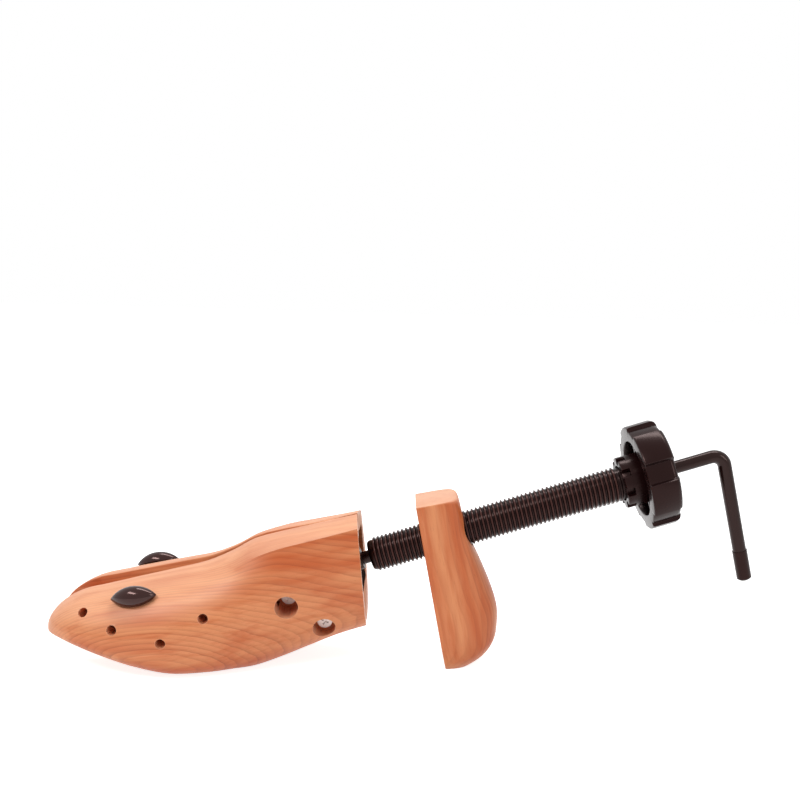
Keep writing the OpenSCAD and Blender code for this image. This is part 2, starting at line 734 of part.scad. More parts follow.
// hollows between the lobes
module rim_hollows(r, s0, s1) {
  reach = 2 * r;
  difference() {
    for (k = [0 : 5]) {
      rotate([lobe_turn - 30 - 60 * k, 0, 0]) translate([s0 - past, 0, 0]) rotate([0, 90, 0])
        linear_extrude(height = s1 - s0 + 2 * past) polygon([[0, 0],
          [-reach * cos(hollow_half), reach * sin(hollow_half)],
          [-reach * cos(hollow_half), -reach * sin(hollow_half)]]);
    }
    bar(s0 - 2 * past, s1 + 2 * past, r - lobe_depth);
  }
}
module lobe_ring(r, s0, s1) {
  h = s1 - s0;
  difference() {
    translate([s0, 0, 0]) rotate([0, 90, 0]) rotate_extrude() polygon([[0, 0], [r - 0.9, 0],
      [r - 0.25, 0.25], [r, 0.9], [r, h - 2.2], [r - 0.7, h - 0.7], [r - 2.2, h], [0, h]]);
    rim_hollows(r, s0, s1);
  }
}
module knob() {
  floor_s = rim_s + rim_depth;
  rim_in = knob_r - rim_wall;
  color(plastic) in_rod() difference() {
    union() {
      difference() {
        lobe_ring(knob_r, rim_s, knob_rear_s);
        bar(rim_s - past, floor_s, rim_in);
      }
      bar(hub_s, floor_s + past, hub_r);
      for (k = [0 : 5]) {
        rotate([lobe_turn + 60 * k, 0, 0]) box(rim_s + rib_step, floor_s + past, -rib_t / 2,
          rib_t / 2, hub_r - 1, rim_in + 0.4);
      }
    }
    bar(hub_s - past, tube_end + press_gap, tube_r + press_gap);
    bar(hub_s, knob_rear_s + past, bore_r);
    // notches of the hub
    for (k = [0 : 7]) {
      rotate([45 * k + notch_turn, 0, 0]) box(hub_s - past, hub_s + notch_depth, -notch_w / 2,
        notch_w / 2, tube_r + 1, hub_r + past);
    }
    cross_bar(knob_pin_s, 0, 0, far, knob_pin_d / 2 + press_gap);
  }
}
module knob_pin() {
  color(steel) in_rod() cross_bar(knob_pin_s, 0, bore_r + 1.1, hub_r - 0.4, knob_pin_d / 2);
}

// the heel block stands on its own leaning axis
module on_heel() {
  translate([front_x + heel_x, 0, 0]) rotate([0, -heel_lean, 0]) children();
}
function heel_ring(r) = concat(
  [[heel_edge, r[1]]],
  [for (i = [1 : 2 * heel_quarter - 1]) let (f = 90 * i / heel_quarter)
    [r[2] * pow(sin(f), 2 / r[3]), r[1] * sign(cos(f)) * pow(abs(cos(f)), 2 / r[3])]],
  [[heel_edge, -r[1]]],
  [[0, heel_edge - r[1]]],
  [[0, r[1] - heel_edge]]);
module heel_solid() {
  rows = smooth_rows(sized(heel_stations, [heel_h, heel_w, heel_depth, 1]), heel_per);
  skin([for (r = rows) [for (p = heel_ring(r)) [p[0], p[1], r[0]]]]);
}
module at_bush_screws() {
  for (k = [-1, 1]) {
    translate([flange_s + screw_gap, 0, k * bush_screw_t]) rotate([0, 90, 0]) children();
  }
}
module heel_block() {
  color(wood) difference() {
    on_heel() heel_solid();
    below_floor();
    in_rod() bar(0, hub_s, tube_r + tube_room);
    in_rod() bar(0, bush_end, bush_d / 2 + press_gap);
    in_rod() box(0, flange_s + flange_t, -flange_w / 2 - flange_room, flange_w / 2 + flange_room,
      -flange_h / 2 - flange_room, flange_h / 2 + flange_room);
    in_rod() at_bush_screws() cylinder(r = bush_screw_d / 2 + press_gap,
      h = bush_screw_len + tip_room);
  }
}
module heel_bush() {
  color(brass) in_rod() difference() {
    union() {
      box(flange_s, flange_s + flange_t, -flange_w / 2, flange_w / 2, -flange_h / 2, flange_h / 2);
      bar(flange_s, bush_end, bush_d / 2);
    }
    bar(0, hub_s, tube_r + run_gap);
    at_bush_screws() sunk_hole(bush_screw_d, 2 * flange_t);
  }
}
module bush_screws() {
  color(steel) in_rod() at_bush_screws() sunk_screw(bush_screw_d, bush_screw_len);
}

// half spindle on a peg, given with the peg down and the long way along X
module bump_shape() {
  hl = bump_len / 2;
  hw = bump_w / 2;
  arc = (hl * hl + hw * hw) / (2 * hw);
  a1 = asin((hl - bump_tip) / arc);
  profile = [for (i = [-bump_steps : bump_steps]) let (f = a1 * i / bump_steps)
    [hw - arc + arc * cos(f), arc * sin(f)]];
  difference() {
    translate([0, 0, bump_seat + bump_h - hw]) rotate([0, 90, 0]) rotate_extrude()
      polygon(concat([[0, -hl + bump_tip]], profile, [[0, hl - bump_tip]]));
    translate([-bump_len, -bump_len, bump_seat - bump_len]) cube([2 * bump_len, 2 * bump_len, bump_len]);
  }
  translate([0, 0, -peg_len]) cylinder(d = peg_d, h = peg_len + bump_seat + 1);
}
module bump_left() {
  color(plastic) left_side() un_rod() at_hole(bump_hole_left) bump_shape();
}
module bump_right() {
  color(plastic) right_side() un_rod() at_hole(bump_hole_right) bump_shape();
}

forefoot_left();
forefoot_right();
hinge_yoke();
hinge_pins();
hinge_leaf_left();
hinge_leaf_right();
leaf_screws_left();
leaf_screws_right();
spreader_pad_left();
spreader_pad_right();
pad_screws_left();
pad_screws_right();
spreader_wedge();
handle_rod();
handle_dip();
front_collar();
rear_collar();
thrust_collar();
collar_pins();
rod_end_nut();
rear_washer();
rod_clip();
threaded_tube();
knob();
knob_pin();
heel_block();
heel_bush();
bush_screws();
bump_left();
bump_right();
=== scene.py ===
"""Looks of the two way shoe stretcher: wood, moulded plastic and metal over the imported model."""
import json
import math
from contextlib import contextmanager

import bmesh
import bpy
import numpy as np
from mathutils import Matrix, Vector

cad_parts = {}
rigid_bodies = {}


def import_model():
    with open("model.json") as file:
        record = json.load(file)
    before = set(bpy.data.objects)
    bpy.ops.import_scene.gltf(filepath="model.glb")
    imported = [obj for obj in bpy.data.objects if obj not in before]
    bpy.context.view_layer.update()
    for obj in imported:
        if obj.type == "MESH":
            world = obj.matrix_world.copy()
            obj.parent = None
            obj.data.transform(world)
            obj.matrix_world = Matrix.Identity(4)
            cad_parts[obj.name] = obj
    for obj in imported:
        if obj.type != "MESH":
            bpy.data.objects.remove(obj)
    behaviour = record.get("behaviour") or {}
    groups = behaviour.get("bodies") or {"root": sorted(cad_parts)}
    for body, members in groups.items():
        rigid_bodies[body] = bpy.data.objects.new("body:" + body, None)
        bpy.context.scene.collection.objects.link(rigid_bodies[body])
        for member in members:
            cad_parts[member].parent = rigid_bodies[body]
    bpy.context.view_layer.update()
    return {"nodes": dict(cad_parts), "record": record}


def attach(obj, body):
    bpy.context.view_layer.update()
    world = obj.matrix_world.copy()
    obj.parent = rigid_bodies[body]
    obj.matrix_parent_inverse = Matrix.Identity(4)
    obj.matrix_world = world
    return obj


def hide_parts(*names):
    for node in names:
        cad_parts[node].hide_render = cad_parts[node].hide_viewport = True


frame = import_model()
scene = bpy.context.scene
MM = 0.001

# The driving sizes of the model, in millimetres and degrees. A place named _S is measured along the
# rod from the front end of the tube.
AXIS_H = 52.0
TILT = 18.57
FRONT_X = -14.6
OPEN_ANGLE = 3.5
SPLIT_GAP = 0.1
# the wood of the halves
BALL_W = 31.0
CREASE_IN = 3.5
CROWN_DROP = 3.1
EDGE_R = 0.8
HALF_BEVEL = 0.35
REAR_LEAN = 5.3
REAR_GAP = 4.6
SMALL_HOLE_D = 4.6
SMALL_HOLE_DEPTH = 11.0
BIG_HOLE_D = 10.6
LEAF_SCREW_R = 2.15
# their pockets for hinge, wedge and pads
RELIEF = 6.6
PAST_SPLIT = 3.0
LAID_IN = 0.05
PIN_BACK = 14.0
PIN_Y = 7.0
LEAF_OUT = 5.6
LEAF_ROOM = 0.6
WEB_OUT = 7.4
LEAF_HALF = 9.4
YOKE_HALF = 12.0
YOKE_REACH = 6.0
HINGE_ROOM = 1.2
WEDGE_POCKET = (-90.0, -47.0)
WEDGE_OUT = 13.4
WEDGE_WAY = (-48.0, -43.0)
WAY_OUT = 3.0
WEDGE_HALF = 9.0
NOSE_BACK = 62.0
PAD_OUT = 14.45
PAD_HALF_LEN = 11.4
PAD_HALF_H = 8.4
# tube, rod and knob
TUBE_R = 8.2
THREAD_DEPTH = 0.9
THREAD_PITCH = 2.0
THREAD_START = 1.6
ROD_R = 3.0
BORE_R = 3.05
HUB_S = 120.4
HUB_R = 11.9
RIM_S = 127.8
KNOB_REAR_S = 141.0
KNOB_R = 24.2
TOE_END_S = -87.0
ARM_S = 167.4
ARM_LEN = 63.0
BEND_R = 5.5
# the heel block
HEEL_X = 37.1
HEEL_LEAN = 12.0
HEEL_W = 13.7
HEEL_EDGE = 0.7
HEEL_BEVEL = 0.3
TUBE_ROOM = 0.6
FLANGE_S = 28.2
FLANGE_T = 2.5
FLANGE_HALF_W = 11.2
FLANGE_HALF_H = 17.7
BUSH_END = 44.6
BUSH_D = 19.6
# the bumps
BUMP_LEN = 21.5
BUMP_W = 10.0
BUMP_H = 6.2
BUMP_SEAT = 0.2
BUMP_TIP = 0.985
PEG_R = 2.25
PEG_LEN = 9

# A half: distance ahead of the tube, half width, top, widest height, sole, crease share, fullness
STATIONS = np.array([
    [-2, 0.633, 75.0, 47.0, 19.2, 1, 2.4],
    [14, 0.673, 70.7, 42.0, 14.2, 1, 2.4],
    [28, 0.717, 67.2, 38.0, 8.4, 1, 2.4],
    [42, 0.760, 63.8, 33.5, 2.6, 0.9, 2.5],
    [54, 0.807, 60.2, 29.0, -0.9, 0.35, 2.8],
    [64, 0.867, 54.6, 25.0, -1.2, 0, 3.2],
    [76, 0.940, 49.3, 21.0, -1.3, 0, 3.6],
    [92, 1.0, 45.1, 18.5, -1.0, 0, 3.6],
    [108, 0.977, 41.2, 18.0, 1.9, 0, 3.1],
    [122, 0.900, 37.7, 18.0, 6.1, 0, 2.65],
    [134, 0.760, 34.7, 18.5, 10.4, 0, 2.4],
    [143, 0.585, 30.0, 18.5, 13.9, 0, 2.3],
    [149, 0.383, 24.6, 18.0, 15.7, 0, 2.2],
    [152.3, 0.08, 18.8, 17.6, 16.6, 0, 2.2],
], float)
STATIONS[:, 1] *= BALL_W - 0.06
# power of the rounded top, share of the crown's half arc before its crease, start of the crisp tip
TOP_POWER = 2.1
CREASE_SHARE = 5 / 12
CRISP_TOE = 134.5
# Small holes: distance ahead, distance from the middle, height, rise and turn of the bore
SMALL_HOLES = [
    (129.9, BALL_W - 11.6, 29.7, 25, 0),
    (115.3, BALL_W - 3.2, 24.5, 10, 0),
    (93.6, BALL_W, 19.3, 0, 0),
    (74.9, BALL_W - 3.3, 30.1, 8, 0),
]
BUMP_HOLES = {"left": (106.2, 20.2, 36.8, 55, 10.7), "right": (110.6, 20.1, 35.5, 55, 11.5)}
LEAF_SCREWS = [(41.9, -5.0), (29.7, -21.6)]
# The heel block: height, width share, depth, fullness
HEEL_STATIONS = np.array([
    [-5, 0.58, 9, 2.4],
    [-1.8, 0.86, 15.0, 2.5],
    [0.5, 1.00, 19.2, 2.6],
    [3.3, 1.10, 22.6, 2.7],
    [7, 1.16, 25.4, 2.8],
    [11.6, 1.19, 27.4, 2.8],
    [19.9, 1.20, 29.2, 2.8],
    [26.5, 1.185, 29.4, 2.8],
    [34.7, 1.15, 28.2, 2.8],
    [46.3, 1.10, 25.6, 3.0],
    [56.5, 1.05, 22.8, 3.4],
    [64.6, 1.02, 20.9, 4.0],
    [71.8, 1.005, 20.4, 4.6],
    [78, 1.0, 20.0, 5.0],
    [80.4, 0.995, 19.4, 5.0],
    [81.2, 0.975, 18.4, 5.0],
], float)


# Frames
def turn(degrees, axis):
    return Matrix.Rotation(math.radians(degrees), 4, axis)


def shift(x, y, z):
    return Matrix.Translation((x, y, z))


IN_ROD = shift(FRONT_X, 0, AXIS_H) @ turn(-TILT, "Y")
SWING = shift(-PIN_BACK, -PIN_Y, 0) @ turn(OPEN_ANGLE, "Z") @ shift(PIN_BACK, PIN_Y, 0)
LEFT_ROD = IN_ROD @ SWING
LEFT = LEFT_ROD @ IN_ROD.inverted()
MIRROR = Matrix.Diagonal((1, -1, 1, 1))
ON_HEEL = shift(FRONT_X + HEEL_X, 0, 0) @ turn(-HEEL_LEAN, "Y")


def at_hole(hole):
    ahead, side, height, rise, twist = hole
    return shift(FRONT_X - ahead, -side, height) @ turn(90 - rise, "X") @ turn(-twist, "Y")


# Mesh helpers, all in millimetres until they are placed
WELD = 0.0005


def new_mesh(name, points, faces):
    mesh = bpy.data.meshes.new(name)
    mesh.from_pydata([tuple(p) for p in points], [], faces)
    mesh.update()
    return mesh


def new_object(name, data):
    obj = bpy.data.objects.new(name, data)
    scene.collection.objects.link(obj)
    return obj


def skin(rings, close_ends=True):
    """Faces over equal closed rings of points."""
    rows, cols = len(rings), len(rings[0])
    points = [p for ring in rings for p in ring]
    faces = [
        (i * cols + j, i * cols + (j + 1) % cols, (i + 1) * cols + (j + 1) % cols, (i + 1) * cols + j)
        for i in range(rows - 1)
        for j in range(cols)
    ]
    if close_ends:
        faces.append(tuple(reversed(range(cols))))
        faces.append(tuple((rows - 1) * cols + j for j in range(cols)))
    return points, faces


def smooth_rows(table, per):
    """The Catmull-Rom curve through the rows of a table."""
    rows = []
    last = len(table) - 1
    for i in range(last):
        a, b, c, d = (table[min(max(k, 0), last)] for k in (i - 1, i, i + 1, i + 2))
        for j in range(per):
            t = j / per
            rows.append(0.5 * (2 * b + (c - a) * t + (2 * a - 5 * b + 4 * c - d) * t ** 2
                               + (3 * b - a - 3 * c + d) * t ** 3))
    rows.append(table[last])
    return rows


def prism(outline, y0, y1, matrix=Matrix.Identity(4)):
    """An outline in the XZ plane, thick along Y."""
    n = len(outline)
    points = [(x, y0, z) for x, z in outline] + [(x, y1, z) for x, z in outline]
    faces = [(i, (i + 1) % n, n + (i + 1) % n, n + i) for i in range(n)]
    faces += [tuple(reversed(range(n))), tuple(range(n, 2 * n))]
    mesh = new_mesh("prism", points, faces)
    mesh.transform(matrix)
    return fix_normals(mesh)


def block(x0, x1, y0, y1, z0, z1, matrix=Matrix.Identity(4)):
    return prism([(x0, z0), (x1, z0), (x1, z1), (x0, z1)], y0, y1, matrix)


def circle(radius, steps):
    turned = [2 * math.pi * k / steps for k in range(steps)]
    return [(radius * math.cos(t), radius * math.sin(t)) for t in turned]


def drill(radius, length, matrix, steps=72):
    """A round bar from the origin of matrix along its Z."""
    mesh = new_mesh("drill", *skin([[(x, y, z) for x, y in circle(radius, steps)] for z in (0, length)]))
    mesh.transform(matrix)
    return fix_normals(mesh)


@contextmanager
def editing(mesh):
    """The mesh as a bmesh, written back at the end."""
    bm = bmesh.new()
    bm.from_mesh(mesh)
    yield bm
    bm.to_mesh(mesh)
    bm.free()


def fix_normals(mesh):
    with editing(mesh) as bm:
        bmesh.ops.recalc_face_normals(bm, faces=bm.faces)
    return mesh


def joined(name, meshes, weld=0.0):
    """One mesh of several. Points closer than weld become one."""
    mesh = bpy.data.meshes.new(name)
    with editing(mesh) as bm:
        for part in meshes:
            bm.from_mesh(part)
        if weld:
            bmesh.ops.remove_doubles(bm, verts=bm.verts, dist=weld)
        bmesh.ops.recalc_face_normals(bm, faces=bm.faces)
    return mesh


def cut(name, mesh, cutters):
    """The mesh with every cutter taken away."""
    obj = new_object(name, mesh)
    tools = bpy.data.collections.new("cutters")
    for k, cutter in enumerate(cutters):
        tools.objects.link(bpy.data.objects.new("cutter%d" % k, cutter))
    scene.collection.children.link(tools)
    boolean = obj.modifiers.new("cut", "BOOLEAN")
    boolean.operation = "DIFFERENCE"
    boolean.operand_type = "COLLECTION"
    boolean.collection = tools
    boolean.solver = "EXACT"
    bpy.context.view_layer.update()
    made = bpy.data.meshes.new_from_object(obj.evaluated_get(bpy.context.evaluated_depsgraph_get()))
    for tool in list(tools.objects):
        bpy.data.objects.remove(tool)
    bpy.data.collections.remove(tools)
    obj.modifiers.clear()
    obj.data = made
    return obj


def clean(mesh, merge=0.02):
    with editing(mesh) as bm:
        bmesh.ops.remove_doubles(bm, verts=bm.verts, dist=merge)
        bmesh.ops.dissolve_degenerate(bm, edges=bm.edges, dist=merge)
        bmesh.ops.recalc_face_normals(bm, faces=bm.faces)


def is_sharp(edge, angle):
    return edge.is_manifold and edge.calc_face_angle(0) > math.radians(angle)


def round_edges(mesh, width, angle, keep=lambda edge: True):
    """Bevels the sharp edges that keep lets through."""
    with editing(mesh) as bm:
        edges = [edge for edge in bm.edges if is_sharp(edge, angle) and keep(edge)]
        bmesh.ops.bevel(bm, geom=edges, offset=width, offset_type="OFFSET", segments=2, profile=0.5,
                        affect="EDGES", clamp_overlap=True)


def smooth(mesh, angle):
    """Smooth shading that keeps edges sharper than angle."""
    mesh.shade_smooth()
    with editing(mesh) as bm:
        for edge in bm.edges:
            edge.smooth = not is_sharp(edge, angle)


def place(name, mesh, matrix, body, node, material):
    """Puts a mesh that is in millimetres into the model, with its body, node and material."""
    mesh.transform(Matrix.Diagonal((MM, MM, MM, 1)) @ matrix)
    if matrix.determinant() < 0:
        mesh.flip_normals()
    obj = bpy.data.objects.get(name) or new_object(name, mesh)
    obj.data = mesh
    mesh.materials.clear()
    mesh.materials.append(material)
    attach(obj, body)
    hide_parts(node)


# Material helpers
def srgb(*values):
    return [((v / 255 + 0.055) / 1.055) ** 2.4 if v / 255 > 0.04045 else v / 255 / 12.92 for v in values]


class Nodes:
    """Short names for building the node tree of a material or world."""

    def __init__(self, owner):
        owner.use_nodes = True
        self.tree = owner.node_tree
        self.shader = self.tree.nodes.get("Principled BSDF")

    def add(self, kind, **settings):
        node = self.tree.nodes.new(kind)
        for key, value in settings.items():
            setattr(node, key, value)
        return node

    def put(self, value, socket):
        if hasattr(value, "is_output"):
            self.tree.links.new(value, socket)
        elif isinstance(value, (list, tuple)) and len(value) == 3 and socket.type == "RGBA":
            socket.default_value = (*value, 1)
        else:
            socket.default_value = value

    def math(self, operation, a, b=None):
        node = self.add("ShaderNodeMath", operation=operation)
        for value, socket in zip((a, b), node.inputs):
            if value is not None:
                self.put(value, socket)
        return node.outputs[0]

    def vector(self, operation, a, b=None):
        node = self.add("ShaderNodeVectorMath", operation=operation)
        for value, socket in zip((a, b), node.inputs):
            if value is not None:
                self.put(value, socket)
        return node.outputs["Value" if operation in ("LENGTH", "DOT_PRODUCT") else "Vector"]

    def noise(self, vector, scale, detail, roughness=0.5):
        node = self.add("ShaderNodeTexNoise")
        self.put(vector, node.inputs["Vector"])
        node.inputs["Scale"].default_value = scale
        node.inputs["Detail"].default_value = detail
        node.inputs["Roughness"].default_value = roughness
        return node.outputs["Fac"]

    def ramp(self, value, stops):
        node = self.add("ShaderNodeValToRGB")
        self.put(value, node.inputs[0])
        ramp = node.color_ramp
        while len(ramp.elements) < len(stops):
            ramp.elements.new(0.5)
        for element, (place_at, colour) in zip(ramp.elements, stops):
            element.position = place_at
            element.color = (*colour, 1)
        return node.outputs["Color"]

    def scalar_ramp(self, value, stops):
        return self.ramp(value, [(p, (v, v, v)) for p, v in stops])

    def mix(self, factor, a, b, blend="MIX"):
        node = self.add("ShaderNodeMix", data_type="RGBA", blend_type=blend)
        self.put(factor, node.inputs["Factor"])
        self.put(a, node.inputs[6])
        self.put(b, node.inputs[7])
        return node.outputs[2]

    def spread(self, value, low, high, start=0.0, stop=1.0):
        """The values from start to stop laid out from low to high."""
        node = self.add("ShaderNodeMapRange")
        self.put(value, node.inputs["Value"])
        node.inputs["From Min"].default_value = start
        node.inputs["From Max"].default_value = stop
        node.inputs["To Min"].default_value = low
        node.inputs["To Max"].default_value = high
        return node.outputs["Result"]

    def bump(self, height, strength, distance):
        node = self.add("ShaderNodeBump")
        node.inputs["Strength"].default_value = strength
        node.inputs["Distance"].default_value = distance
        self.put(height, node.inputs["Height"])
        return node.outputs["Normal"]

    def edge(self, radius, samples, stops):
        """1 on outer and inner edges, 0 on open surfaces."""
        bevel = self.add("ShaderNodeBevel", samples=samples)
        bevel.inputs["Radius"].default_value = radius
        normal = self.add("ShaderNodeNewGeometry").outputs["Normal"]
        return self.scalar_ramp(self.vector("DOT_PRODUCT", bevel.outputs["Normal"], normal), stops)

    def set(self, **values):
        for key, value in values.items():
            self.put(value, self.shader.inputs[key.replace("_", " ")])


def pine(name, grain, pith, ring, seed, drift=2.2, contrast=0.8, flames=(0.45, 0.68)):
    """Planed pine. grain is a frame whose X runs along the fibres, pith its centre line in that frame,
    ring the spacing of the growth rings and drift how far they wander, all in millimetres. contrast
    is that of the rings, flames the part of a noise that turns warm."""
    material = bpy.data.materials.new(name)
    n = Nodes(material)
    coords = n.add("ShaderNodeTexCoord")
    board = n.add("ShaderNodeMapping", vector_type="TEXTURE")
    n.put(coords.outputs["Object"], board.inputs["Vector"])
    board.inputs["Rotation"].default_value = grain.to_euler()
    board.inputs["Scale"].default_value = (MM, MM, MM)
    p = n.vector("SUBTRACT", board.outputs["Vector"], (0, *pith))
    # slow drift of the rings along and across the board
    long = n.vector("MULTIPLY", p, (0.22, 1, 1))
    drift_y = n.noise(n.vector("ADD", long, (seed, 0, 0)), 0.022, 3, 0.5)
    drift_z = n.noise(n.vector("ADD", long, (0, seed + 40, 9)), 0.022, 3, 0.5)
    split = n.add("ShaderNodeSeparateXYZ")
    n.put(p, split.inputs[0])
    y = n.math("ADD", split.outputs["Y"], n.spread(drift_y, -drift, drift))
    z = n.math("ADD", split.outputs["Z"], n.spread(drift_z, -drift, drift))
    radius = n.math("SQRT", n.math("ADD", n.math("MULTIPLY", y, y), n.math("MULTIPLY", z, z)))
    waver = n.spread(n.noise(n.vector("MULTIPLY", p, (0.1, 1, 1)), 0.5, 2), -0.16, 0.16)
    phase = n.math("ADD", n.math("DIVIDE", radius, ring), waver)
    year = n.math("FLOOR", phase)
    late = n.scalar_ramp(n.math("FRACT", phase), [(0.0, 0.10), (0.35, 0.16), (0.72, 0.62), (0.90, 1.0),
                                                  (0.97, 0.55), (1.0, 0.10)])
    white = n.add("ShaderNodeTexWhiteNoise", noise_dimensions="1D")
    n.put(n.math("ADD", year, seed), white.inputs["W"])
    strength = n.spread(white.outputs["Value"], 0.35 * contrast, contrast)
    grain_line = n.math("MULTIPLY", late, strength)
    # fibres, streaks along the grain and broad warm flames
    fibre = n.noise(n.vector("MULTIPLY", p, (0.035, 1.6, 1.6)), 1.0, 4, 0.6)
    streak = n.noise(n.vector("MULTIPLY", p, (0.03, 0.30, 0.30)), 1.0, 3, 0.55)
    flame = n.noise(n.vector("MULTIPLY", p, (0.16, 1, 1)), 0.075, 2, 0.55)
    light, warm, dark = srgb(238, 158, 106), srgb(206, 97, 40), srgb(158, 68, 32)
    fibre_tone, resin, ring_end = srgb(214, 140, 98), srgb(150, 78, 44), srgb(190, 98, 56)
    pale_end, sheen_tone, wear_and_highlight = srgb(250, 206, 172), srgb(250, 200, 164), srgb(248, 192, 152)
    warmth = n.scalar_ramp(flame, [(flames[0], 0), (flames[1], 1)])
    colour = n.mix(n.math("MULTIPLY", warmth, 0.85), light, warm)
    colour = n.mix(n.math("MULTIPLY", n.scalar_ramp(streak, [(0.48, 0), (0.72, 1)]), 0.55), colour, warm)
    colour = n.mix(n.math("MULTIPLY", grain_line, 0.62), colour, dark)
    colour = n.mix(n.spread(fibre, 0.0, 0.34), colour, fibre_tone, "MULTIPLY")
    # resin canals, short dark ticks in the late wood
    ticks = n.noise(n.vector("MULTIPLY", p, (0.16, 2.6, 2.6)), 1.0, 1, 0.4)
    tick = n.math("MULTIPLY", n.scalar_ramp(ticks, [(0.69, 0), (0.75, 1)]), 0.22)
    colour = n.mix(tick, colour, resin)
    # end grain: darker rings, and the end faces made paler
    axis = grain.to_3x3() @ Vector((1, 0, 0))
    normal = coords.outputs["Normal"]
    facing = n.math("ABSOLUTE", n.vector("DOT_PRODUCT", normal, tuple(axis)))
    end = n.scalar_ramp(facing, [(0.72, 0), (0.96, 1)])
    colour = n.mix(n.math("MULTIPLY", n.math("MULTIPLY", end, grain_line), 0.95), colour, ring_end)
    colour = n.mix(n.math("MULTIPLY", end, 0.3), colour, pale_end)
    # painted sheen: the upper faces and the toe are painted paler where the light falls on them
    upward = n.scalar_ramp(n.vector("DOT_PRODUCT", normal, (0, 0, 1)), [(0.25, 0), (0.85, 1)])
    toeward = n.scalar_ramp(facing, [(0.35, 0), (0.85, 1)])
    painted_sheen = n.math("MULTIPLY", n.math("MAXIMUM", upward, toeward), n.spread(streak, 0.52, 0.24))
    colour = n.mix(painted_sheen, colour, sheen_tone)
    # edges are rubbed pale and smooth
    edge = n.math("MULTIPLY", n.edge(0.0006, 5, [(0.80, 1), (0.98, 0)]), n.spread(streak, 0.25, 0.75))
    colour = n.mix(edge, colour, wear_and_highlight)
    n.set(Base_Color=colour, Roughness=n.spread(fibre, 0.36, 0.52), Specular_IOR_Level=0.42)
    height = n.math("ADD", n.math("MULTIPLY", grain_line, 0.5), n.math("MULTIPLY", fibre, 0.7))
    n.set(Normal=n.bump(height, 0.35, 0.00012))
    return material


def plastic(name, tone, rough, relief=0.02, edge_wear_and_highlight=0.25, shine=0.2, crest=None):
    """Moulded dark plastic with a faint skin and edges made pale, partly as wear and partly as a painted
    highlight. crest gives the radii between which the thread of a tube is painted paler, a painted highlight
    on its crests, in millimetres."""
    material = bpy.data.materials.new(name)
    n = Nodes(material)
    coords = n.add("ShaderNodeTexCoord").outputs["Object"]
    skin_noise = n.noise(coords, 900, 3, 0.6)
    cloud = n.noise(coords, 45, 3, 0.6)
    # edges made pale: partly wear, partly a painted highlight
    edge = n.math("MULTIPLY", n.edge(0.0007, 6, [(0.86, 1), (0.985, 0)]), edge_wear_and_highlight)
    base = n.mix(n.spread(cloud, 0.0, 1.0), tone, [c * 1.5 for c in tone])
    base = n.mix(edge, base, [c * 5 + 0.02 for c in tone])
    # painted highlight: the crests of the thread are painted paler
    if crest is not None:
        place_in_rod = n.add("ShaderNodeMapping", vector_type="TEXTURE")
        n.put(coords, place_in_rod.inputs["Vector"])
        place_in_rod.inputs["Location"].default_value = [v * MM for v in IN_ROD.translation]
        place_in_rod.inputs["Rotation"].default_value = IN_ROD.to_euler()
        across = n.vector("LENGTH", n.vector("MULTIPLY", place_in_rod.outputs["Vector"], (0, 1, 1)))
        wear_and_highlight = n.spread(across, 0.0, 1.0, crest[0] * MM, crest[1] * MM)
        crest_highlight = n.math("MULTIPLY", wear_and_highlight, n.spread(cloud, 0.35, 0.9))
        base = n.mix(crest_highlight, base, srgb(88, 56, 51))
    uneven = n.spread(cloud, rough - 0.05, rough + 0.07)
    n.set(Base_Color=base, Roughness=n.math("ADD", uneven, n.math("MULTIPLY", edge, 0.3)),
          Normal=n.bump(skin_noise, relief, 0.0002), Specular_IOR_Level=shine,
          Specular_Tint=(1.0, 0.66, 0.62, 1.0))
    return material


def metal(name, tone, rough, lines=(0.1, 1, 1), metallic=1.0, stain=0.25, shine=0.5):
    """Drawn or turned metal with fine lines and faint stains, or blackened where metallic is 0.
    lines stretches the lines along the axis of its smallest value."""
    material = bpy.data.materials.new(name)
    n = Nodes(material)
    coords = n.add("ShaderNodeTexCoord").outputs["Object"]
    fine = n.noise(n.vector("MULTIPLY", coords, lines), 2600, 3, 0.65)
    cloud = n.noise(coords, 130, 4, 0.6)
    stained = n.math("MULTIPLY", n.scalar_ramp(cloud, [(0.4, 0), (0.7, 1)]), stain)
    uneven = n.math("ADD", n.spread(fine, rough - 0.06, rough + 0.08), n.math("MULTIPLY", cloud, 0.06))
    n.set(Base_Color=n.mix(stained, tone, [c * 0.45 for c in tone]), Metallic=metallic, Roughness=uneven,
          Normal=n.bump(fine, 0.06, 0.0001), Specular_IOR_Level=shine)
    if not metallic:
        n.set(Specular_Tint=(1.0, 0.72, 0.68, 1.0))
    return material


GRAIN_TILT = 8.0
wood_left = pine("pine_left", turn(-GRAIN_TILT, "Y"), (82.0, 92.0), ring=1.25, seed=3.0, drift=3.0)
wood_right = pine("pine_right", turn(-GRAIN_TILT, "Y"), (60.0, 100.0), ring=1.3, seed=17.0)
wood_heel = pine("pine_heel", turn(-90 - HEEL_LEAN, "Y"), (120.0, -60.0), ring=1.5, seed=31.0, drift=6.0,
                 contrast=0.6, flames=(0.34, 0.6))
dark_plastic = plastic("dark_plastic", srgb(24, 9, 9), 0.21)
thread_plastic = plastic("thread_plastic", srgb(17, 7, 7), 0.2, edge_wear_and_highlight=0, crest=(7.75, 8.2))
bump_plastic = plastic("bump_plastic", srgb(34, 13, 11), 0.13, relief=0.008, edge_wear_and_highlight=0.1, shine=0.5)
black_steel = metal("black_steel", srgb(30, 14, 12), 0.16, lines=(1, 1, 0.1), metallic=0.0, shine=0.28)
dark_steel = metal("dark_steel", srgb(70, 60, 56), 0.4)
dull_black = metal("dull_black", srgb(54, 45, 42), 0.7, lines=(1, 1, 1), metallic=0.0, stain=0.5, shine=0.0)
dip_plastic = plastic("dip_plastic", srgb(28, 12, 10), 0.24, edge_wear_and_highlight=0.05)
zinc = metal("zinc", srgb(216, 202, 196), 0.42)
brass = metal("brass", srgb(206, 164, 96), 0.3)


